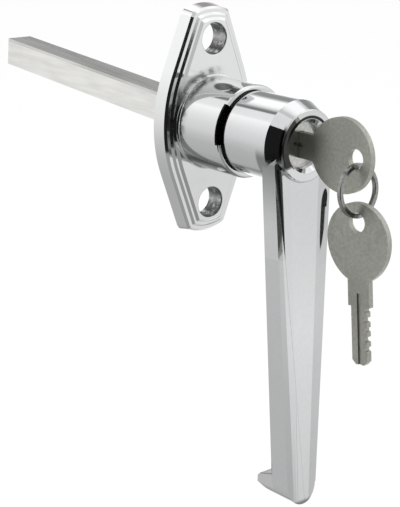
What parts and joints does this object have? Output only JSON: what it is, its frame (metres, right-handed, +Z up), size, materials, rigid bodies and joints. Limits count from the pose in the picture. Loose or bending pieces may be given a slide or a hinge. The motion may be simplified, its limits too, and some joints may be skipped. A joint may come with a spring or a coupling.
{
  "type": "locking garage door handle",
  "caption": "Keyed L-handle on an oval flange with a square spindle that turns a garage door latch, two keys on a split ring.",
  "frame": {"origin": "centre between the two fixing holes, in the mounting face, on the hub's axis", "axes": "+Y into the door along the spindle, -Y to the user, +Z up, the lever hangs along -Z"},
  "size_m": [0.0318, 0.1578, 0.1278],
  "materials": {
    "chrome_casting": "bright chrome plate on a zinc casting",
    "plated_steel": "satin zinc plate on cold-drawn bar",
    "plain_steel": "plain steel",
    "spring_steel": "dark spring steel",
    "plug_metal": "satin chrome plate",
    "wafer_brass": "stamped brass",
    "key_metal": "matt nickel plate",
    "ring_steel": "bright nickel plate on spring wire"
  },
  "bodies": {
    "mount": {"base_plate": "chrome_casting"},
    "handle": {"handle": "chrome_casting", "spindle_pin": "plain_steel", "retaining_ring": "spring_steel", "rear_washer": "plain_steel", "front_washer": "plain_steel", "lock_shell": "chrome_casting", "shell_pin": "plain_steel"},
    "spindle": {"square_spindle": "plated_steel"},
    "plug": {"lock_plug": "plug_metal", "plug_clip": "spring_steel", "wafer_1": "wafer_brass", "wafer_2": "wafer_brass", "wafer_3": "wafer_brass", "wafer_4": "wafer_brass", "wafer_5": "wafer_brass", "wafer_spring_1": "spring_steel", "wafer_spring_2": "spring_steel", "wafer_spring_3": "spring_steel", "wafer_spring_4": "spring_steel", "wafer_spring_5": "spring_steel"},
    "bolt": {"lock_bolt": "plain_steel"},
    "key": {"key": "key_metal"},
    "ring": {"key_ring": "ring_steel"},
    "spare": {"spare_key": "key_metal"}
  },
  "joints": [
    {"name": "handle_turn", "type": "hinge", "parent": "mount", "child": "handle", "pos_m": [0, -0.012, 0], "axis": [0, 1, 0], "range_deg": [-90, 90]},
    {"name": "spindle_rock", "type": "hinge", "parent": "handle", "child": "spindle", "pos_m": [0, -0.0064, 0], "axis": [1, 0, 0], "range_deg": [-8.6, 0]},
    {"name": "plug_turn", "type": "hinge", "parent": "handle", "child": "plug", "pos_m": [0, -0.033, 0], "axis": [0, -1, 0], "range_deg": [0, 90]},
    {"name": "bolt_throw", "type": "slide", "parent": "handle", "child": "bolt", "axis": [0, 0, 1], "range_m": [0, 0.00283]},
    {"name": "key_withdraw", "type": "slide", "parent": "plug", "child": "key", "axis": [0, -1, 0], "range_m": [0, 0.0195]},
    {"name": "ring_swing", "type": "hinge", "parent": "key", "child": "ring", "pos_m": [0, -0.05845, -0.00162], "axis": [1, 0, 0], "range_deg": [-54, 8]},
    {"name": "spare_key_swing", "type": "hinge", "parent": "ring", "child": "spare", "pos_m": [0, -0.05975, -0.01395], "axis": [1, 0, 0], "range_deg": [-30, 4]}
  ],
  "couplings": [
    {"joint": "bolt_throw", "follows": "plug_turn", "m_per_rad": 0.0018006}
  ]
}
